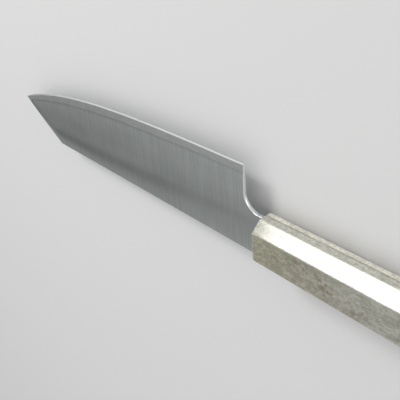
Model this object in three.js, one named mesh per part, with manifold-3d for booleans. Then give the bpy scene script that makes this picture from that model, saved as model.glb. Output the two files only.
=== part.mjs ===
// Kitchen knife with an angled tip: a three-layer blade on a hidden tang, in an octagonal wooden handle.
// Millimetres. The knife lies on its side: +X to the tip, +Y to the spine, +Z up out of its right-hand face.

import * as THREE from 'three';
import { mergeVertices } from 'three/addons/utils/BufferGeometryUtils.js';
import Module from 'manifold-3d';

const wasm = await Module();
wasm.setup();

const { lerp, degToRad } = THREE.MathUtils;

// Blade outline, from the shoulder that meets the handle (x = 0) and the handle's axis (y = 0)
const SPINE_Y = 11.1;
const HEEL_X = 10.6;
const HEEL_HEIGHT = 43.5;
const EDGE_LENGTH = 189.5;
const TIP_DROP = 21.1;
const TIP_CUT_LENGTH = 33;
const NECK_HEIGHT = 21.6;
const CHOIL_RADIUS = 7.5;

// Cutting edge: how far it runs on at its slope at the heel, and comes in at its slope at the tip
const HEEL_REACH = 56;
const HEEL_SLOPE = degToRad(1.5);
const TIP_REACH = 53;
const TIP_SLOPE = degToRad(22.9);

// Blade section: a flat below the spine, then a convex grind down to a narrow sharpened bevel
const NECK_THICKNESS = 2.1;
const TIP_CORNER_THICKNESS = 1.5;
const CORE_THICKNESS = 0.82;
const GRIND_END_THICKNESS = 0.24;
const FLAT_HEIGHT = 9;
const GRIND_POWER = 3;
const BEVEL_WIDTH = 0.8;

// Tang, centred on the handle's axis
const TANG_HEIGHT = 13;
const TANG_END_HEIGHT = 7.5;
const TANG_END_RADIUS = 2.5;

// Handle: an octagon that grows from its front end to its butt, as its chamfers do
const HANDLE_LENGTH = 130;
const FRONT_HEIGHT = 23.2;
const FRONT_WIDTH = 16.8;
const BUTT_HEIGHT = 26;
const BUTT_WIDTH = 18.2;
const FRONT_CHAMFER_HEIGHT = 4.6;
const BUTT_CHAMFER_HEIGHT = 5.2;
const CHAMFER_ANGLE = degToRad(41);
const FRONT_BEVEL = 0.5;
const BUTT_ROUNDING = 1.6;
const WOOD_BEHIND_TANG = 40;

// Adhesive round the tang, and the clearance that every joint keeps
const BEDDING_WALL = 0.6;
const JOINT_GAP = 0.3;

// How finely curves are stepped (the grind's steps crowd towards the edge), and how far cuts overrun
const EDGE_STEPS = 26;
const GRIND_STEPS = 6;
const GRIND_CROWDING = 1.5;
const ARC_STEPS = 10;
const BUTT_STEPS = 3;
const CUT_MARGIN = 2;

// Places that follow from the sizes above
const HEEL_Y = SPINE_Y - HEEL_HEIGHT;
const NECK_Y = SPINE_Y - NECK_HEIGHT;
const TIP_X = HEEL_X + EDGE_LENGTH;
const TIP_Y = SPINE_Y - TIP_DROP;
const TIP_CORNER_X = TIP_X - TIP_CUT_LENGTH;
const TANG_LENGTH = HANDLE_LENGTH - WOOD_BEHIND_TANG;

// A body skinned over rings of points that run along +X, each ring counter-clockwise seen from the tip
function loft(rings) {
  const count = rings[0].length;
  const points = rings.flat();
  const faces = [];
  for (let ring = 0; ring + 1 < rings.length; ring += 1) {
    for (let i = 0; i < count; i += 1) {
      const here = ring * count + i;
      const next = ring * count + ((i + 1) % count);
      faces.push(here, next, here + count);
      faces.push(next, next + count, here + count);
    }
  }
  const last = points.length - count;
  for (let i = 1; i + 1 < count; i += 1) {
    faces.push(0, i + 1, i);
    faces.push(last, last + i, last + i + 1);
  }
  const geometry = new THREE.BufferGeometry().setFromPoints(points);
  geometry.setIndex(faces);
  return geometry;
}

// A flat outline given its thickness between two levels
function plate(shape, bottom, top) {
  const options = { depth: top - bottom, bevelEnabled: false, curveSegments: ARC_STEPS };
  return new THREE.ExtrudeGeometry(shape, options).translate(0, 0, bottom);
}

function toSolid(geometry) {
  const bare = geometry.clone();
  bare.deleteAttribute('normal');
  bare.deleteAttribute('uv');
  const merged = mergeVertices(bare);
  const vertProperties = new Float32Array(merged.attributes.position.array);
  const triVerts = new Uint32Array(merged.index.array);
  return new wasm.Manifold(new wasm.Mesh({ numProp: 3, vertProperties, triVerts }));
}

function toGeometry(solid) {
  const { vertProperties, triVerts } = solid.getMesh();
  const geometry = new THREE.BufferGeometry();
  geometry.setAttribute('position', new THREE.BufferAttribute(vertProperties, 3));
  geometry.setIndex(new THREE.BufferAttribute(triVerts, 1));
  geometry.computeVertexNormals();
  return geometry;
}

// The tang's outline, drawn from its lower root round its end to its upper root, with room left round it
function drawTang(shape, room) {
  const root = TANG_HEIGHT / 2 + room;
  const end = TANG_END_HEIGHT / 2 + room;
  const back = -TANG_LENGTH - room;
  const radius = TANG_END_RADIUS + room;
  shape.lineTo(0, -root);
  shape.lineTo(back + radius, -end);
  shape.quadraticCurveTo(back, -end, back, radius - end);
  shape.lineTo(back, end - radius);
  shape.quadraticCurveTo(back, end, back + radius, end);
  shape.lineTo(0, root);
}

// The blade and tang as one sheet, left uncut below the cutting edge
function sheetOutline() {
  const low = HEEL_Y - CUT_MARGIN;
  const cutPerDrop = TIP_CUT_LENGTH / TIP_DROP;
  const choil = Math.min(CHOIL_RADIUS, HEEL_X, HEEL_HEIGHT - NECK_HEIGHT);
  const shape = new THREE.Shape();
  shape.moveTo(0, SPINE_Y);
  shape.lineTo(TIP_CORNER_X, SPINE_Y);
  shape.lineTo(TIP_CORNER_X + (SPINE_Y - low) * cutPerDrop, low);
  shape.lineTo(HEEL_X, low);
  shape.lineTo(HEEL_X, NECK_Y - choil);
  shape.absarc(HEEL_X - choil, NECK_Y - choil, choil, 0, Math.PI / 2, false);
  shape.lineTo(0, NECK_Y);
  drawTang(shape, 0);
  shape.closePath();
  return shape;
}

// The tang with room left all round it, open past the handle's front end
function tangSpace(room) {
  const root = TANG_HEIGHT / 2 + room;
  const half = NECK_THICKNESS / 2 + room;
  const shape = new THREE.Shape();
  shape.moveTo(CUT_MARGIN, -root);
  drawTang(shape, room);
  shape.lineTo(CUT_MARGIN, root);
  shape.closePath();
  return toSolid(plate(shape, -half, half));
}

function cuttingEdge() {
  const heel = new THREE.Vector2(HEEL_X, HEEL_Y);
  const tip = new THREE.Vector2(TIP_X, TIP_Y);
  const fromHeel = new THREE.Vector2(Math.cos(HEEL_SLOPE), Math.sin(HEEL_SLOPE));
  const toTip = new THREE.Vector2(Math.cos(TIP_SLOPE), Math.sin(TIP_SLOPE));
  const heelPull = heel.clone().addScaledVector(fromHeel, HEEL_REACH);
  const tipPull = tip.clone().addScaledVector(toTip, -TIP_REACH);
  const points = new THREE.CubicBezierCurve(heel, heelPull, tipPull, tip).getPoints(EDGE_STEPS);
  points.push(tip.clone().addScaledVector(toTip, CUT_MARGIN));
  return points;
}

// Half the ground blade's thickness, at a height above the cutting edge
function grindHalf(x, edgeY, height) {
  const spineHalf = lerp(NECK_THICKNESS, TIP_CORNER_THICKNESS, x / TIP_CORNER_X) / 2;
  const below = Math.max(0, 1 - height / (SPINE_Y - FLAT_HEIGHT - edgeY));
  return spineHalf - (spineHalf - GRIND_END_THICKNESS / 2) * below ** GRIND_POWER;
}

// One ring of the grinding envelope, from the cutting edge up the left side and down the right side
function grindRing(x, edgeY, halfAt) {
  const groundHeight = SPINE_Y - FLAT_HEIGHT - edgeY;
  const heights = [];
  for (let step = 0; step <= GRIND_STEPS; step += 1) {
    heights.push(lerp(BEVEL_WIDTH, groundHeight, (step / GRIND_STEPS) ** GRIND_CROWDING));
  }
  heights.push(SPINE_Y + CUT_MARGIN - edgeY);
  const right = heights.map((height) => new THREE.Vector3(x, edgeY + height, halfAt(x, edgeY, height)));
  const left = right.map((point) => new THREE.Vector3(point.x, point.y, -point.z));
  return [new THREE.Vector3(x, edgeY, 0), ...left, ...right.toReversed()];
}

// The space that the finished sheet may fill: parallel along the tang, ground from the shoulder to the tip
function grindEnvelope() {
  const parallel = () => NECK_THICKNESS / 2;
  const rings = [
    grindRing(-TANG_LENGTH - CUT_MARGIN, HEEL_Y, parallel),
    grindRing(-JOINT_GAP, HEEL_Y, parallel),
    grindRing(0, HEEL_Y, grindHalf),
  ];
  for (const point of cuttingEdge()) {
    rings.push(grindRing(point.x, point.y, grindHalf));
  }
  return toSolid(loft(rings));
}

// The three bonded layers: the core is bare where the grind goes through the cladding
function bladeLayers() {
  const envelope = grindEnvelope();
  const outline = sheetOutline();
  const core = CORE_THICKNESS / 2;
  const outside = NECK_THICKNESS / 2 + CUT_MARGIN;
  const layer = (bottom, top) => toGeometry(envelope.intersect(toSolid(plate(outline, bottom, top))));
  return { core: layer(-core, core), right: layer(core, outside), left: layer(-outside, -core) };
}

// An octagon across the handle, behind its front end, with every facet drawn in by an inset
function handleRing(behind, inset) {
  const along = Math.min(1, behind / (HANDLE_LENGTH - BUTT_ROUNDING));
  const x = -JOINT_GAP - behind;
  const height = lerp(FRONT_HEIGHT, BUTT_HEIGHT, along) / 2;
  const width = lerp(FRONT_WIDTH, BUTT_WIDTH, along) / 2;
  const chamferHeight = lerp(FRONT_CHAMFER_HEIGHT, BUTT_CHAMFER_HEIGHT, along);
  const chamferWidth = chamferHeight / Math.tan(CHAMFER_ANGLE);
  const normalY = Math.cos(CHAMFER_ANGLE);
  const normalZ = Math.sin(CHAMFER_ANGLE);
  const sideY = height - chamferHeight - inset * (1 - normalZ) / normalY;
  const edgeZ = width - chamferWidth - inset * (1 - normalY) / normalZ;
  const quarter = [[height - inset, edgeZ], [sideY, width - inset]];
  const half = [...quarter, ...quarter.map(([y, z]) => [-y, z]).toReversed()];
  const ring = [...half, ...half.map(([y, z]) => [-y, -z])];
  return ring.map(([y, z]) => new THREE.Vector3(x, y, z));
}

// The whole block, with its rounded butt and bevelled front end
function handleBlock() {
  const rings = [];
  for (let step = 0; step <= BUTT_STEPS; step += 1) {
    const turn = (step / BUTT_STEPS) * Math.PI / 2;
    const behind = HANDLE_LENGTH - BUTT_ROUNDING * (1 - Math.cos(turn));
    rings.push(handleRing(behind, BUTT_ROUNDING * (1 - Math.sin(turn))));
  }
  rings.push(handleRing(FRONT_BEVEL, 0));
  rings.push(handleRing(0, FRONT_BEVEL));
  return toSolid(loft(rings));
}

function slottedHandle(block) {
  return toGeometry(block.subtract(tangSpace(JOINT_GAP + BEDDING_WALL + JOINT_GAP)));
}

// The adhesive as it sets: a sleeve round the tang, closed at its end and level with the handle's front
function tangBedding(block) {
  const sleeve = block.intersect(tangSpace(JOINT_GAP + BEDDING_WALL));
  return toGeometry(sleeve.subtract(tangSpace(JOINT_GAP)));
}

function piece(name, geometry, color, roughness, metalness) {
  const material = new THREE.MeshStandardMaterial({ color, roughness, metalness });
  const mesh = new THREE.Mesh(geometry, material);
  mesh.name = name;
  return mesh;
}

const layers = bladeLayers();
const block = handleBlock();
const knife = new THREE.Group();
knife.add(
  piece('core_layer', layers.core, 0xb4b2aa, 0.3, 1),
  piece('right_cladding', layers.right, 0x8d908d, 0.38, 1),
  piece('left_cladding', layers.left, 0x8d908d, 0.38, 1),
  piece('handle', slottedHandle(block), 0x948b74, 0.25, 0),
  piece('tang_bedding', tangBedding(block), 0x5a4c38, 0.5, 0),
);

// The origin is under the middle of the knife's box, on the surface that the handle lies on
const butt = -JOINT_GAP - HANDLE_LENGTH;
const top = Math.max(SPINE_Y, FRONT_HEIGHT / 2, BUTT_HEIGHT / 2);
const bottom = Math.min(HEEL_Y, -FRONT_HEIGHT / 2, -BUTT_HEIGHT / 2);
const halfWidth = Math.max(FRONT_WIDTH, BUTT_WIDTH) / 2;
knife.position.set(-(TIP_X + butt) / 2, -(top + bottom) / 2, halfWidth);

export default knife;
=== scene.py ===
"""A kitchen knife: a blade of three bonded steel layers in an octagonal handle of layered wood."""

import functools
import math

import bmesh
import bpy
from mathutils import Matrix, Vector


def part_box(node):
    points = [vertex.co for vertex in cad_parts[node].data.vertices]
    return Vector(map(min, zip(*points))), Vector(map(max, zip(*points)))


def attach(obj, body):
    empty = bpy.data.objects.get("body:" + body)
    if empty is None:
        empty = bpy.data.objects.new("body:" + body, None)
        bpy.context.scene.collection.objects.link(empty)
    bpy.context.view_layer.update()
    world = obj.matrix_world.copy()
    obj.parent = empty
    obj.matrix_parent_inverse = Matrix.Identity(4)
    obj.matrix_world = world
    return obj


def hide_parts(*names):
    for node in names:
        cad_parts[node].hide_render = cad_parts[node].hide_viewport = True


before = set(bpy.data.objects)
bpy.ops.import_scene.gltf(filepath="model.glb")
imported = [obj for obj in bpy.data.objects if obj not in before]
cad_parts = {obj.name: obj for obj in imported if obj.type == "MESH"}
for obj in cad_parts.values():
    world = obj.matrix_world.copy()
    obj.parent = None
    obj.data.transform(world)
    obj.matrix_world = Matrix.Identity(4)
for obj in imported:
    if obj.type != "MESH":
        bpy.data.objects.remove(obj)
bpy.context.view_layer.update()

MM = 0.001

# Joint between blade and handle, in millimetres
JOINT_GAP = 0.3
SLOT_ROOM = 1.2
RESIN_ROOM = 1.18
RESIN_CLEAR = 0.02
RESIN_RECESS = 0.12
SLOT_CORNER = 0.6

# Where the blade's shoulder meets the handle's axis, in the frame's metres
handle_low, handle_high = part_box("handle")
handle_middle = (handle_low + handle_high) / 2
SHOULDER = Vector((handle_high.x + JOINT_GAP * MM, handle_middle.y, handle_middle.z))

# Blade outline in millimetres from the shoulder: x to the tip, y to the spine, z out of the right-hand face
blade_low, blade_high = ((corner - SHOULDER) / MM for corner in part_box("core_layer"))
SPINE_Y = blade_high.y
HEEL_X = 10.6
HEEL_Y = blade_low.y
NECK_Y = SPINE_Y - 21.6
CHOIL_RADIUS = 7.5
CHOIL_X = HEEL_X - CHOIL_RADIUS
CHOIL_Y = NECK_Y - CHOIL_RADIUS
TIP_X = blade_high.x
TIP_Y = SPINE_Y - 21.1
TIP_CORNER_X = TIP_X - 33

# Cutting edge: how far it runs on at its slope at the heel, and comes in at its slope at the tip
HEEL_REACH = 56
HEEL_SLOPE = math.radians(1.5)
TIP_REACH = 53
TIP_SLOPE = math.radians(22.9)

# Blade section
NECK_THICKNESS = 2.1
TIP_CORNER_THICKNESS = 1.5
CORE_THICKNESS = 0.82
BOND = CORE_THICKNESS / 2
GRIND_END_THICKNESS = 0.24
FLAT_HEIGHT = 9
GRIND_POWER = 3
BEVEL_WIDTH = 0.8

# Finish of the blade's sides: how much they fall away to the spine at either end, and from how far in
NECK_FALL = 0.04
NECK_FALL_WIDTH = 22
TIP_FALL = 0.18
TIP_FALL_WIDTH = 9

# The share of the thickness that is lost along the cut behind the tip, and from how far in
CUT_FALL = 0.17
CUT_FALL_WIDTH = 4

# Finish of the blade's outline: its rims, the per cent of them that is rounded, how sharp a rim is,
# and the most of the height that rim and bevel each take where the blade runs out
RIM = 0.45
HEEL_RIM = 0.8
NECK_RIM = 0.2
RIM_ROUNDED = 90
RIM_ANGLE = math.radians(60)
TAPERED_SHARE = 0.3

# Wander of the bond: its depth as a share of the core, and the length, weight and start of each wave.
# A dark line runs along the bond, up to this height over it
BOND_WANDER = 0.012
BOND_WAVES = ((4.3, 1, 0), (2.1, 0.7, 1.3), (9.5, 0.8, 0))
BOND_SHADOW = 0.1

# Tang
TANG_X = blade_low.x
TANG_HEIGHT = 13
TANG_END_HEIGHT = 7.5
TANG_END_RADIUS = 2.5

# Handle
HANDLE_LENGTH = (handle_high.x - handle_low.x) / MM
FRONT_HEIGHT = 23.2
FRONT_WIDTH = 16.8
BUTT_HEIGHT = (handle_high.y - handle_low.y) / MM
BUTT_WIDTH = (handle_high.z - handle_low.z) / MM
FRONT_CHAMFER_HEIGHT = 4.6
BUTT_CHAMFER_HEIGHT = 5.2
CHAMFER_ANGLE = math.radians(41)
FRONT_BEVEL = 0.5
BUTT_ROUNDING = 1.6
ARRIS_SOFTENING = 0.28

# How finely the surfaces are stepped, the cutting edge is searched and the meshes are welded, and the
# angle over which an edge of the blade shows sharp
BLADE_COLUMNS = 110
TIP_COLUMNS = 30
HEEL_ROWS = 16
SHOULDER_ROWS = 4
TANG_ROWS = 12
CHOIL_STEPS = 18
NECK_STEPS = 4
TANG_STEPS = 6
ROUNDING_STEPS = 6
ARRIS_STEPS = 3
BEVEL_STEPS = 2
EDGE_SEARCH = 1e-9
WELD = 0.002
FINE_WELD = WELD / 4
SHARP = math.radians(40)

# Colours of the wood
OLIVE = (0.425, 0.41, 0.29, 1)
STONE = (0.475, 0.475, 0.42, 1)
CREAM = (0.82, 0.8, 0.68, 1)
UMBER = (0.34, 0.315, 0.24, 1)
ASH = (0.61, 0.61, 0.535, 1)
BROWN = (0.19, 0.15, 0.095, 1)
PITCH = (0.06, 0.052, 0.034, 1)
# Pale wood for the rounded arrises: partly rubbed wear, partly a painted highlight
RUBBED_AND_HIGHLIT = (0.7, 0.675, 0.57, 1)

# Stack of the wood, in millimetres: its colours by their distance from the handle's middle, where its heart
# fades out, how thick its plies are and how far they waver, and the length over which it grows grey
WOOD_STACK = ((-5, OLIVE), (-3.4, CREAM), (-1.2, CREAM), (-0.55, UMBER), (0.2, ASH), (2.4, ASH), (4, OLIVE))
HEART_SPAN = (3.2, 5)
PLY_THICKNESS = 0.6
PLY_WAVER = 0.8
GREYING_LENGTH = 120

# Camera: a long lens behind the handle, looking down along the blade and rolled over, in metres
CAMERA_PLACE = SHOULDER + Vector((-0.18081, -0.17926, 0.17653))
CAMERA_AIM = SHOULDER + Vector((0.04234, -0.00143, 0))
CAMERA_ROLL = math.radians(-118.27)
CAMERA_LENS = 64.8
CAMERA_NEAR = 0.01

# Room: its brightness by the angle in degrees, from the spine's side over the top to the edge's side
ROOM = ((0, 0.5), (25, 0.44), (38, 0.39), (41, 0.41), (43, 0.357), (45, 0.346), (47, 0.352), (49, 0.388),
        (51, 0.414), (53, 0.429), (55, 0.45), (58, 0.471), (62, 0.491), (85, 0.5), (120, 0.55), (180, 0.55))

# Strength of the room: by the handle, how much is lost towards the tip, and over which directions along X
ROOM_STRENGTH = 1.25
ROOM_LOSS = 0.62
ROOM_LOSS_SPAN = (0.3, 1.1)

# A dark gap in the room, slanting down past the tip: half its width, its angle and depth at either end,
# and the directions along X between which it slants
GAP_WIDTH = math.radians(1.6)
GAP_BY_HANDLE = (math.radians(45.7), 0.13)
GAP_BY_TIP = (math.radians(42.2), 0.53)
GAP_SPAN = (0.57, 0.85)

# A window behind the handle, on the edge's side: its strength, and the angles and the directions along X
# over which it fades in
WINDOW_STRENGTH = 2.8
WINDOW_RISE = (math.radians(88), math.radians(116))
WINDOW_SPAN = (-0.5, -0.85)

# Softboxes, in metres: place along X, angle from the spine's side, distance, length, width and radiance
EDGE_SOFTBOX = (0.43, math.radians(143), 1, 0.44, 0.2, 6.1)
EDGE_SOFTBOX_SPREAD = math.radians(130)
TIP_SOFTBOX = (1.4, math.radians(74.5), 1, 1.3, 0.18, 0.35)

# Watts per square metre at which a lamp panel's radiance is 1
PANEL_WATTS = 4

# Floor, in metres: just under the knife, so that the two never share a plane
FLOOR_RADIUS = 6
FLOOR_SIDES = 96
FLOOR_DROP = 0.0002
FLOOR_GREY = 0.8


def lerp(start, end, share):
    return start + (end - start) * share


def steps(start, end, count):
    """Evenly spaced values from start to end, both included."""
    return [lerp(start, end, i / count) for i in range(count + 1)]


def cutting_edge(share):
    """A point of the cutting edge, a cubic curve from the heel to the tip."""
    heel = Vector((HEEL_X, HEEL_Y))
    tip = Vector((TIP_X, TIP_Y))
    heel_pull = heel + HEEL_REACH * Vector((math.cos(HEEL_SLOPE), math.sin(HEEL_SLOPE)))
    tip_pull = tip - TIP_REACH * Vector((math.cos(TIP_SLOPE), math.sin(TIP_SLOPE)))
    rest = 1 - share
    early = heel * rest**3 + heel_pull * 3 * rest**2 * share
    return early + tip_pull * 3 * rest * share**2 + tip * share**3


@functools.cache
def edge_y(x):
    """Height of the cutting edge at x, found by halving, and of the heel behind it."""
    if x <= HEEL_X:
        return HEEL_Y
    low, high = 0.0, 1.0
    while high - low > EDGE_SEARCH:
        middle = (low + high) / 2
        if cutting_edge(middle).x < x:
            low = middle
        else:
            high = middle
    return cutting_edge(high).y


def top_y(x):
    """Height of the spine, then of the straight cut from its corner to the tip."""
    return lerp(SPINE_Y, TIP_Y, max(0, (x - TIP_CORNER_X) / (TIP_X - TIP_CORNER_X)))


def cut_distance(x, y):
    """How far a point lies in from the straight cut behind the tip."""
    cut = Vector((TIP_X - TIP_CORNER_X, TIP_Y - SPINE_Y)).normalized()
    return cut.y * (x - TIP_CORNER_X) - cut.x * (y - SPINE_Y)


def fall(distance, depth, width):
    """How much is lost at a distance from a rim, if depth is lost at the rim."""
    return depth * max(0, 1 - distance / width)**2


def ground(x, y):
    """A point of the right-hand surface: nearly flat below the spine, then convex down to the bevel."""
    edge = edge_y(x)
    below = max(0, 1 - (y - edge) / (SPINE_Y - FLAT_HEIGHT - edge))
    thickness = lerp(NECK_THICKNESS, TIP_CORNER_THICKNESS, x / TIP_CORNER_X)
    half = lerp(thickness, GRIND_END_THICKNESS, below**GRIND_POWER) / 2
    along = x / TIP_X
    depth = lerp(NECK_FALL, TIP_FALL, along)
    width = lerp(NECK_FALL_WIDTH, TIP_FALL_WIDTH, along)
    half -= fall(SPINE_Y - y, depth, width)
    half *= 1 - fall(cut_distance(x, y), CUT_FALL, CUT_FALL_WIDTH)
    return Vector((x, y, half))


def patch(bm, column_count, row_count, place):
    """A grid whose vertices are placed by their column and row."""
    made = bmesh.ops.create_grid(bm, x_segments=column_count - 1, y_segments=row_count - 1, size=1)
    for vert in made["verts"]:
        column = round((vert.co.x + 1) / 2 * (column_count - 1))
        row = round((vert.co.y + 1) / 2 * (row_count - 1))
        vert.co = place(column, row)


def row_shares():
    """Shares of the height at which rows run: up the heel, then from choil past tang to the rim."""
    low = edge_y(HEEL_X + HEEL_RIM) + BEVEL_WIDTH
    neck = NECK_Y + NECK_RIM
    high = SPINE_Y - RIM
    choil = (CHOIL_Y - low) / (high - low)
    tang_low = (-TANG_HEIGHT / 2 - neck) / (high - neck)
    tang_high = (TANG_HEIGHT / 2 - neck) / (high - neck)
    above_choil = steps(0, tang_low, SHOULDER_ROWS)[:-1]
    above_choil += steps(tang_low, tang_high, TANG_ROWS)[:-1]
    above_choil += steps(tang_high, 1, SHOULDER_ROWS)
    return steps(0, choil, HEEL_ROWS)[:-1], above_choil, choil


def blade_patch(bm, shares):
    """From just in front of the heel to the tip: the cutting bevel, the grind and the spine's rim."""
    columns = steps(HEEL_X + HEEL_RIM, TIP_CORNER_X, BLADE_COLUMNS)[:-1]
    columns += steps(TIP_CORNER_X, TIP_X, TIP_COLUMNS)

    def place(column, row):
        x = columns[column]
        edge = edge_y(x)
        top = top_y(x)
        thinnest = (top - edge) * TAPERED_SHARE
        at_tip = column + 1 == len(columns)
        if row == 0 or at_tip:
            return Vector((x, edge, 0))
        if row > len(shares):
            return ground(x, top)
        low = edge + min(BEVEL_WIDTH, thinnest)
        high = top - min(RIM, thinnest)
        return ground(x, lerp(low, high, shares[row - 1]))

    patch(bm, len(columns), len(shares) + 2, place)


def choil_line(heel_rim, neck_rim):
    """The line round the choil and along the neck to the shoulder, set in from the outline by its rims."""
    reach = CHOIL_RADIUS + heel_rim
    rise = CHOIL_RADIUS + neck_rim
    turns = steps(0, math.pi / 2, CHOIL_STEPS)
    arc = [Vector((CHOIL_X + reach * math.cos(turn), CHOIL_Y + rise * math.sin(turn))) for turn in turns]
    return arc + [Vector((x, NECK_Y + neck_rim)) for x in steps(CHOIL_X, 0, NECK_STEPS)[1:]]


def neck_patch(bm, shares):
    """From the shoulder to the heel, above the choil's rim."""
    low_line = choil_line(HEEL_RIM, NECK_RIM)[::-1]

    def place(column, row):
        x, low = low_line[column]
        return ground(x, lerp(low, SPINE_Y - RIM, shares[row]) if row < len(shares) else SPINE_Y)

    patch(bm, len(low_line), len(shares) + 1, place)


def rim_patch(bm, heel_shares):
    """The rim up the heel, round the choil and along the neck."""
    inner_x = HEEL_X + HEEL_RIM
    edge = edge_y(inner_x)
    heights = [lerp(edge + BEVEL_WIDTH, SPINE_Y - RIM, share) for share in heel_shares]
    outer = [Vector((HEEL_X, y)) for y in [HEEL_Y] + heights] + choil_line(0, 0)
    inner = [Vector((inner_x, y)) for y in [edge] + heights] + choil_line(HEEL_RIM, NECK_RIM)

    def place(column, row):
        x, y = (outer, inner)[column][row]
        return ground(x, y) if row > 0 else Vector((x, y, 0))

    patch(bm, 2, len(outer), place)


def tang_patch(bm):
    """The parallel tang, tapered in height and rounded off at its end."""
    rounding_x = TANG_X + TANG_END_RADIUS
    columns = steps(TANG_X, rounding_x, TANG_STEPS)[:-1] + steps(rounding_x, 0, TANG_STEPS)
    heights = steps(-1, 1, TANG_ROWS)

    def half_height(x):
        if x >= rounding_x:
            return lerp(TANG_HEIGHT, TANG_END_HEIGHT, x / rounding_x) / 2
        turned = 1 - math.sqrt(max(0, (x - TANG_X) / TANG_END_RADIUS))
        return TANG_END_HEIGHT / 2 - TANG_END_RADIUS * turned**2

    def place(column, row):
        x = columns[column]
        y = half_height(x) * heights[row]
        return Vector((x, y, NECK_THICKNESS / 2)) if x < 0 else ground(x, y)

    patch(bm, len(columns), len(heights), place)


def blade_body():
    """The whole blade and tang: both ground sides, the walls of the outline and their rounded rims."""
    bm = bmesh.new()
    polish = bm.faces.layers.float.new("polish")
    heel_shares, above_choil, choil = row_shares()
    blade_patch(bm, heel_shares + [lerp(choil, 1, share) for share in above_choil])
    neck_patch(bm, above_choil)
    rim_patch(bm, heel_shares)
    tang_patch(bm)
    bmesh.ops.remove_doubles(bm, verts=bm.verts[:], dist=WELD)
    for face in bm.faces:
        face[polish] = float(any(vert.co.z == 0 for vert in face.verts))

    outline = [edge for edge in bm.edges if edge.is_boundary and any(vert.co.z > 0 for vert in edge.verts)]
    for item in bmesh.ops.extrude_edge_only(bm, edges=outline)["geom"]:
        if isinstance(item, bmesh.types.BMVert):
            item.co.z = 0
        elif isinstance(item, bmesh.types.BMFace):
            item[polish] = 1
    bmesh.ops.remove_doubles(bm, verts=bm.verts[:], dist=WELD)
    bmesh.ops.recalc_face_normals(bm, faces=bm.faces[:])

    def is_rim(edge):
        clear_of_tang = any(vert.co.x > WELD for vert in edge.verts)
        thick = all(vert.co.z > GRIND_END_THICKNESS / 2 for vert in edge.verts)
        return clear_of_tang and thick and edge.calc_face_angle(0) > RIM_ANGLE

    rims = [edge for edge in bm.edges if is_rim(edge)]
    rounded = bmesh.ops.bevel(bm, geom=rims, affect="EDGES", offset=RIM_ROUNDED, offset_type="PERCENT",
                              segments=ROUNDING_STEPS, profile=0.5, material=-1)
    for face in rounded["faces"]:
        face[polish] = 1
    bmesh.ops.mirror(bm, geom=bm.verts[:] + bm.edges[:] + bm.faces[:], axis="Z", merge_dist=WELD)
    bmesh.ops.remove_doubles(bm, verts=bm.verts[:], dist=FINE_WELD)
    bmesh.ops.recalc_face_normals(bm, faces=bm.faces[:])
    return bm


def wander(x):
    """How the core swells and thins along the blade."""
    waves = (weight * math.sin(x / length + start) for length, weight, start in BOND_WAVES)
    return 1 + BOND_WANDER * sum(waves)


def blade_layer(body, levels):
    """The part of the blade that is left on the inner side of each level, closed where it was cut."""
    bm = body.copy()
    for vert in bm.verts:
        vert.co.z /= wander(vert.co.x)
    for level, outward in levels:
        whole = bm.verts[:] + bm.edges[:] + bm.faces[:]
        cut = bmesh.ops.bisect_plane(bm, geom=whole, dist=FINE_WELD, plane_co=(0, 0, level),
                                     plane_no=(0, 0, outward), clear_outer=True)
        ring = [item for item in cut["geom_cut"] if isinstance(item, bmesh.types.BMEdge)]
        bmesh.ops.contextual_create(bm, geom=ring)
    for vert in bm.verts:
        vert.co.z *= wander(vert.co.x)
    bmesh.ops.recalc_face_normals(bm, faces=bm.faces[:])
    polish = bm.faces.layers.float["polish"]
    for face in bm.faces:
        face.smooth = True
    for edge in bm.edges:
        one_finish = len({face[polish] for face in edge.link_faces}) == 1
        edge.smooth = one_finish and edge.calc_face_angle(0) < SHARP
    return bm


def cut_corners(height, width, cut_height, cut_width):
    """Eight points across the handle: a rectangle with its corners cut, from its half sizes."""
    quarter = [(height, width - cut_width), (height - cut_height, width)]
    half = quarter + [(-y, z) for y, z in reversed(quarter)]
    return half + [(-y, -z) for y, z in half]


def octagon(along):
    """The handle's section, from its front (0) to its butt (1)."""
    height = lerp(FRONT_HEIGHT, BUTT_HEIGHT, along) / 2
    width = lerp(FRONT_WIDTH, BUTT_WIDTH, along) / 2
    chamfer = lerp(FRONT_CHAMFER_HEIGHT, BUTT_CHAMFER_HEIGHT, along)
    return cut_corners(height, width, chamfer, chamfer / math.tan(CHAMFER_ANGLE))


def round_tang(x, room):
    """A section round the tang at x, with room left."""
    height = lerp(TANG_HEIGHT, TANG_END_HEIGHT, x / TANG_X) / 2 + room
    width = NECK_THICKNESS / 2 + room
    corner = SLOT_CORNER * width / (NECK_THICKNESS / 2 + SLOT_ROOM)
    return cut_corners(height, width, corner, corner)


def prism(bm, front_x, front_ring, back_x, back_ring):
    """A closed block between two sections across the handle. Gives its front face."""
    back = [bm.verts.new((back_x, y, z)) for y, z in back_ring]
    made = bmesh.ops.extrude_face_region(bm, geom=[bm.faces.new(back)], use_keep_orig=True)["geom"]
    front = [item for item in made if isinstance(item, bmesh.types.BMVert)]
    for vert in front:
        nearest = min(range(len(back)), key=lambda i: (back[i].co - vert.co).length)
        vert.co = (front_x, *front_ring[nearest])
    return next(face for face in front[0].link_faces if all(vert in front for vert in face.verts))


def open_front(bm, front, mouth):
    """Joins a block's front face to the mouth of the pocket behind it."""
    loops = front.edges[:] + mouth.edges[:]
    bmesh.ops.delete(bm, geom=[front, mouth], context="FACES_ONLY")
    bmesh.ops.triangle_fill(bm, edges=loops, use_beauty=True, normal=(1, 0, 0))
    bmesh.ops.recalc_face_normals(bm, faces=bm.faces[:])


def edges_across(bm, x):
    """The edges that lie across the handle at x."""
    return [edge for edge in bm.edges if all(abs(vert.co.x - x) < WELD for vert in edge.verts)]


def edges_along(bm):
    """The edges with over a tenth of their length along the handle, so also those down the butt's curve."""
    def runs_along(edge):
        start, end = edge.verts
        return abs(start.co.x - end.co.x) > edge.calc_length() / 10

    return [edge for edge in bm.edges if runs_along(edge)]


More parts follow.
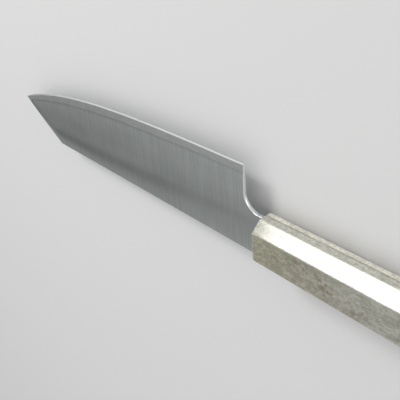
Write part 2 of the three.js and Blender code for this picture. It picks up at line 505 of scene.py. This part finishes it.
def round_over(bm, edges, offset, segments):
    """Rounds edges off, smooth between the flat facets, and marks the rounding for wear and a painted
    highlight.
    """
    rounded = bmesh.ops.bevel(bm, geom=edges, affect="EDGES", offset=offset, offset_type="OFFSET",
                              segments=segments, profile=0.5, material=-1, clamp_overlap=True)
    for face in rounded["faces"]:
        face.smooth = True
        face[bm.faces.layers.float["polish"]] = 1


def handle_block():
    """The octagonal block: butt rounded, arrises softened, front bevelled and slotted for the tang."""
    bm = bmesh.new()
    bm.faces.layers.float.new("polish")
    front_x = -JOINT_GAP
    butt_x = front_x - HANDLE_LENGTH
    prism(bm, front_x, octagon(0), butt_x, octagon(1))
    round_over(bm, edges_across(bm, butt_x), BUTT_ROUNDING, ROUNDING_STEPS)
    round_over(bm, edges_along(bm), ARRIS_SOFTENING, ARRIS_STEPS)
    round_over(bm, edges_across(bm, front_x), FRONT_BEVEL, BEVEL_STEPS)
    front = max((face for face in bm.faces if face.calc_center_median().x > front_x - WELD),
                key=lambda face: face.calc_area())
    end_x = TANG_X - SLOT_ROOM
    mouth = prism(bm, front_x, round_tang(0, SLOT_ROOM), end_x, round_tang(TANG_X, SLOT_ROOM))
    open_front(bm, front, mouth)
    return bm


def tang_resin():
    """The set adhesive: it fills the slot round the tang and stops just inside the mouth."""
    bm = bmesh.new()
    front_x = -JOINT_GAP - RESIN_RECESS
    outer_end = TANG_X - RESIN_ROOM
    inner_end = TANG_X - RESIN_CLEAR
    front = prism(bm, front_x, round_tang(0, RESIN_ROOM), outer_end, round_tang(TANG_X, RESIN_ROOM))
    mouth = prism(bm, front_x, round_tang(0, RESIN_CLEAR), inner_end, round_tang(TANG_X, RESIN_CLEAR))
    open_front(bm, front, mouth)
    return bm


def mesh_object(bm, name, finish):
    """The mesh as an object of the scene, with its finish."""
    mesh = bpy.data.meshes.new(name)
    bm.to_mesh(mesh)
    bm.free()
    mesh.materials.append(finish)
    made = bpy.data.objects.new(name, mesh)
    bpy.context.scene.collection.objects.link(made)
    return made


def finished(bm, name, node, finish):
    """Makes the mesh a piece of the knife, moved to the frame and standing for its CAD node."""
    bmesh.ops.transform(bm, matrix=Matrix.Translation(SHOULDER) @ Matrix.Scale(MM, 4), verts=bm.verts[:])
    piece = mesh_object(bm, name, finish)
    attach(piece, "root")
    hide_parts(node)


class Wire:
    """One output in a node tree. Arithmetic on it adds Math nodes."""

    def __init__(self, sheet, socket):
        self.sheet = sheet
        self.socket = socket

    def __add__(self, other):
        return self.sheet.math("ADD", self, other)

    def __radd__(self, other):
        return self.sheet.math("ADD", other, self)

    def __sub__(self, other):
        return self.sheet.math("SUBTRACT", self, other)

    def __rsub__(self, other):
        return self.sheet.math("SUBTRACT", other, self)

    def __mul__(self, other):
        return self.sheet.math("MULTIPLY", self, other)

    def __rmul__(self, other):
        return self.sheet.math("MULTIPLY", other, self)

    def __truediv__(self, other):
        return self.sheet.math("DIVIDE", self, other)

    def __abs__(self):
        return self.sheet.math("ABSOLUTE", self)


class Sheet:
    """A node tree being drawn up: a finish, or the studio round the knife."""

    def __init__(self, block):
        self.block = block
        block.use_nodes = True
        self.tree = block.node_tree
        self.tree.nodes.clear()

    def node(self, kind, settings=None, inputs=None, output=0):
        """Adds a node, sets it up, then sets or links its sockets. Gives the named or numbered output."""
        made = self.tree.nodes.new(kind)
        for name, value in (settings or {}).items():
            if name == "stops":
                self.set_stops(made.color_ramp.elements, value)
            else:
                setattr(made, name, value)
        for key, value in (inputs or {}).items():
            if isinstance(value, Wire):
                self.tree.links.new(value.socket, made.inputs[key])
            else:
                made.inputs[key].default_value = value
        return Wire(self, made.outputs[output]) if len(made.outputs) else made

    @staticmethod
    def set_stops(elements, stops):
        while len(elements) < len(stops):
            elements.new(1)
        for element, (position, colour) in zip(elements, stops):
            element.position = position
            element.color = colour

    def math(self, operation, first, second=0.0):
        return self.node("ShaderNodeMath", {"operation": operation}, {0: first, 1: second})

    def axis(self, vector, name):
        return self.node("ShaderNodeSeparateXYZ", {}, {"Vector": vector}, output=name)

    def place(self):
        """Millimetres from the shoulder."""
        here = self.node("ShaderNodeTexCoord", output="Object")
        sizes = {"Vector": here, "Location": -SHOULDER / MM, "Scale": (1 / MM, 1 / MM, 1 / MM)}
        return self.node("ShaderNodeMapping", {}, sizes)

    def noise(self, place, grain, detail=2, roughness=0.5, turn=0):
        """Noise whose grains have the given size along x, y and z in millimetres, turned about z."""
        scale = tuple(1 / size for size in grain)
        turned = place
        if turn:
            turned = self.node("ShaderNodeMapping", {}, {"Vector": place, "Rotation": (0, 0, turn)})
        stretched = self.node("ShaderNodeMapping", {}, {"Vector": turned, "Scale": scale})
        sizes = {"Vector": stretched, "Scale": 1, "Detail": detail, "Roughness": roughness}
        return self.node("ShaderNodeTexNoise", {}, sizes)

    def band(self, value, low, high):
        """A smooth step from 0 at low to 1 at high."""
        sizes = {"Value": value, "From Min": low, "From Max": high}
        return self.node("ShaderNodeMapRange", {"interpolation_type": "SMOOTHSTEP"}, sizes)

    def mix(self, share, first, second):
        """A colour between two colours."""
        return self.node("ShaderNodeMix", {"data_type": "RGBA"}, {0: share, 6: first, 7: second}, output=2)

    def attribute(self, name):
        return self.node("ShaderNodeAttribute", {"attribute_name": name}, output="Fac")

    def bump(self, height, depth):
        """A normal that rises and falls by depth millimetres with height."""
        return self.node("ShaderNodeBump", {}, {"Height": height, "Distance": depth * MM})

    def surface(self, **sockets):
        """Ends a finish with its shader."""
        inputs = {name.replace("_", " "): value for name, value in sockets.items()}
        shader = self.node("ShaderNodeBsdfPrincipled", {}, inputs)
        self.node("ShaderNodeOutputMaterial", {}, {"Surface": shader})
        return self.block


def grey(level):
    return (level, level, level, 1)


def steel(level, red=0.945, blue=0.985):
    """The grey of a steel, a little cool."""
    return (level * red, level, level * blue, 1)


def satin_cladding():
    """Satin steel: hair lines from spine to edge, and a dark line where the layer ends over the core."""
    sheet = Sheet(bpy.data.materials.new("satin_cladding"))
    place = sheet.place()
    hair = sheet.noise(place, (0.12, 14, 14), detail=3, roughness=0.6)
    stroke = sheet.noise(place, (0.9, 40, 40), detail=3, roughness=0.6)
    cloud = sheet.noise(place, (30, 14, 14), detail=2)
    polish = sheet.attribute("polish")
    dull, bright, shadow, rim = steel(0.53), steel(0.71), steel(0.24), steel(0.9, 0.98, 1.01)
    tone = stroke * 0.35 + cloud * 0.25 + hair * 0.4
    colour = sheet.mix(sheet.band(tone, 0.3, 0.7), dull, bright)
    bond = 1 - sheet.band(abs(sheet.axis(place, "Z")), BOND, BOND + BOND_SHADOW)
    colour = sheet.mix(bond * (0.1 + 0.4 * cloud), colour, shadow)
    colour = sheet.mix(polish, colour, rim)
    roughness = 0.05 + 0.05 * stroke + 0.18 * polish
    scratched = sheet.bump((hair + 0.4 * stroke) * (1 - polish), depth=0.001)
    return sheet.surface(Base_Color=colour, Metallic=1, Roughness=roughness, Normal=scratched)


def bare_core():
    """Hard steel laid bare along the edge: warmer, with fine slanting marks and a bright bevel."""
    sheet = Sheet(bpy.data.materials.new("bare_core"))
    place = sheet.place()
    hair = sheet.noise(place, (0.18, 3, 3), detail=3, roughness=0.6, turn=math.radians(35))
    cloud = sheet.noise(place, (7, 1.6, 4), detail=3)
    polish = sheet.attribute("polish")
    dull, bright, bevel = steel(0.54, 0.968, 0.975), steel(0.64, 0.968, 0.975), steel(0.82, 0.98, 1.01)
    tone = hair * 0.5 + cloud * 0.5
    colour = sheet.mix(sheet.band(tone, 0.3, 0.7), dull, bright)
    colour = sheet.mix(polish, colour, bevel)
    roughness = 0.2 + 0.12 * hair - 0.1 * polish
    scratched = sheet.bump(hair * (1 - polish), depth=0.01)
    return sheet.surface(Base_Color=colour, Metallic=1, Roughness=roughness, Normal=scratched)


def layered_wood():
    """Thin plies of wood stacked across the handle, pressed, cut to facets and polished."""
    sheet = Sheet(bpy.data.materials.new("layered_wood"))
    place = sheet.place()
    waver = sheet.noise(place, (26, 8, 8), detail=2)
    fibre = sheet.noise(place, (6, 0.5, 0.5), detail=3, roughness=0.6)
    grain = sheet.noise(place, (1.6, 1, 1), detail=5, roughness=0.8)
    fleck = sheet.noise(place, (2.4, 1.3, 1.3), detail=3, roughness=0.6)
    cloud = sheet.noise(place, (9, 4.5, 4.5), detail=3, roughness=0.55)
    stain = sheet.noise(place, (2, 1.6, 1.6), detail=4, roughness=0.65)
    cluster = sheet.noise(place, (15, 8, 8), detail=2)
    worn_and_highlit = sheet.attribute("polish")

    # Pale plies at the heart of the stack and olive ones outside, which grow greyer towards the butt
    across = sheet.axis(place, "Z") + PLY_WAVER * (waver - 0.5)
    heart = 1 - sheet.band(abs(across), *HEART_SPAN)
    stops = [(0.5 + distance / BUTT_WIDTH, colour) for distance, colour in WOOD_STACK]
    stack = sheet.node("ShaderNodeValToRGB", {"stops": stops}, {"Fac": 0.5 + across / BUTT_WIDTH})
    greying = sheet.band(0.5 * cloud - sheet.axis(place, "X") / GREYING_LENGTH, 0.3, 0.75) * (1 - heart)
    stack = sheet.mix(greying * 0.8, stack, STONE)

    # Mottling and grain, weaker at the heart, and clusters of brown stains
    dark = sheet.mix(0.7, stack, PITCH)
    mottled = sheet.band(0.45 * fleck + 0.55 * cloud, 0.38, 0.62)
    colour = sheet.mix((1 - mottled) * (0.5 - 0.25 * heart), stack, dark)
    grained = 1 - sheet.band(grain, 0.38, 0.58)
    colour = sheet.mix(grained * (0.8 - 0.2 * heart - 0.25 * greying), colour, dark)
    stained = sheet.band(stain, 0.46, 0.64) * sheet.band(cluster, 0.47, 0.6)
    colour = sheet.mix(stained * (0.9 - 0.6 * heart), colour, BROWN)

    # Seams along the plies, some darker than others, and the arrises, paler from wear and from a painted
    # highlight
    depth = across / PLY_THICKNESS
    layer = sheet.node("ShaderNodeTexWhiteNoise", {"noise_dimensions": "1D"},
                       {"W": sheet.math("FLOOR", depth)}, output="Value")
    seam = 1 - sheet.band(abs(sheet.math("FRACT", depth) - 0.5), 0.1, 0.3)
    speckled = sheet.band(grain, 0.62, 0.4)
    colour = sheet.mix(seam * layer * speckled * (0.15 + 0.65 * heart), colour, BROWN)
    # Painted highlight: the rounded arrises are lightened, partly as wear and partly in place of the light
    # they catch
    colour = sheet.mix(worn_and_highlit * 0.4, colour, RUBBED_AND_HIGHLIT)
    roughness = 0.3 + 0.25 * fibre
    porous = sheet.bump(fibre + 0.6 * fleck, depth=0.01)
    return sheet.surface(Base_Color=colour, Roughness=roughness, Coat_Weight=0.8 + 0.4 * fleck,
                         Coat_Roughness=0.1, Coat_IOR=1.55, Normal=porous)


def amber_resin():
    """Set adhesive: dark amber, a little cloudy."""
    sheet = Sheet(bpy.data.materials.new("amber_resin"))
    place = sheet.place()
    cloud = sheet.noise(place, (1.5, 1.5, 1.5), detail=3)
    dark, pale = (0.09, 0.06, 0.03, 1), (0.2, 0.14, 0.075, 1)
    colour = sheet.mix(cloud, dark, pale)
    roughness = 0.3 + 0.2 * cloud
    lumpy = sheet.bump(cloud, depth=0.05)
    return sheet.surface(Base_Color=colour, Roughness=roughness, Normal=lumpy)


def studio_floor():
    """A plain pale floor."""
    bm = bmesh.new()
    bmesh.ops.create_circle(bm, cap_ends=True, segments=FLOOR_SIDES, radius=FLOOR_RADIUS)
    sheet = Sheet(bpy.data.materials.new("pale_floor"))
    finish = sheet.surface(Base_Color=grey(FLOOR_GREY), Roughness=0.7, Specular_IOR_Level=0)
    floor = mesh_object(bm, "studio_floor", finish)
    floor.location.z = -FLOOR_DROP


def softbox(name, x, rise, distance, length, width, radiance):
    """A lamp panel along X, that far from the knife's axis, raised by an angle from the spine's side."""
    lamp = bpy.data.lights.new(name, "AREA")
    lamp.shape = "RECTANGLE"
    lamp.size = length
    lamp.size_y = width
    lamp.energy = PANEL_WATTS * length * width * radiance
    panel = bpy.data.objects.new(name, lamp)
    panel.location = (x, distance * math.cos(rise), distance * math.sin(rise))
    panel.rotation_euler.x = rise - math.pi / 2
    panel.visible_camera = False
    bpy.context.scene.collection.objects.link(panel)
    return panel


def studio_room():
    """A soft room whose bands of brightness run along the knife, with a dark gap and a window."""
    world = bpy.data.worlds.new("studio")
    bpy.context.scene.world = world
    sheet = Sheet(world)
    toward = sheet.node("ShaderNodeTexCoord", output="Generated")
    along = sheet.axis(toward, "X")
    rise = sheet.math("ARCTAN2", sheet.axis(toward, "Z"), sheet.axis(toward, "Y"))
    stops = [(angle / 180, grey(level)) for angle, level in ROOM]
    room = sheet.node("ShaderNodeValToRGB", {"stops": stops}, {"Fac": rise / math.pi})
    onward = sheet.band(along, *GAP_SPAN)
    middle, depth = (lerp(first, last, onward) for first, last in zip(GAP_BY_HANDLE, GAP_BY_TIP))
    gap = depth * (1 - sheet.band(abs(rise - middle), 0, GAP_WIDTH))
    window = sheet.band(rise, *WINDOW_RISE) * sheet.band(along, *WINDOW_SPAN)
    strength = (ROOM_STRENGTH - ROOM_LOSS * sheet.band(along, *ROOM_LOSS_SPAN)) * (1 - gap)
    strength = strength + WINDOW_STRENGTH * window
    background = sheet.node("ShaderNodeBackground", {}, {"Color": room, "Strength": strength})
    sheet.node("ShaderNodeOutputWorld", {}, {"Surface": background})


def studio_light():
    """The room, a softbox aimed at the shoulder from the edge's side, and a weak one past the tip."""
    studio_room()
    edge = softbox("edge_softbox", *EDGE_SOFTBOX)
    edge.data.spread = EDGE_SOFTBOX_SPREAD
    edge.rotation_euler = (SHOULDER - edge.location).to_track_quat("-Z", "Y").to_euler()
    softbox("tip_softbox", *TIP_SOFTBOX)


def photo_camera():
    """The camera at the photograph's viewing angle."""
    lens = bpy.data.cameras.new("photo_camera")
    lens.lens = CAMERA_LENS
    lens.clip_start = CAMERA_NEAR
    camera = bpy.data.objects.new("photo_camera", lens)
    upright = (CAMERA_AIM - CAMERA_PLACE).to_track_quat("-Z", "Y").to_matrix().to_4x4()
    camera.matrix_world = Matrix.Translation(CAMERA_PLACE) @ upright @ Matrix.Rotation(CAMERA_ROLL, 4, "Z")
    bpy.context.scene.collection.objects.link(camera)
    bpy.context.scene.camera = camera


photo_camera()
studio_floor()
studio_light()
bpy.context.scene.view_settings.view_transform = "Standard"

body = blade_body()
satin = satin_cladding()
finished(blade_layer(body, [(-BOND, -1), (BOND, 1)]), "blade_core", "core_layer", bare_core())
finished(blade_layer(body, [(BOND, -1)]), "blade_right_cladding", "right_cladding", satin)
finished(blade_layer(body, [(-BOND, 1)]), "blade_left_cladding", "left_cladding", satin)
body.free()
finished(handle_block(), "handle_block", "handle", layered_wood())
finished(tang_resin(), "tang_resin", "tang_bedding", amber_resin())
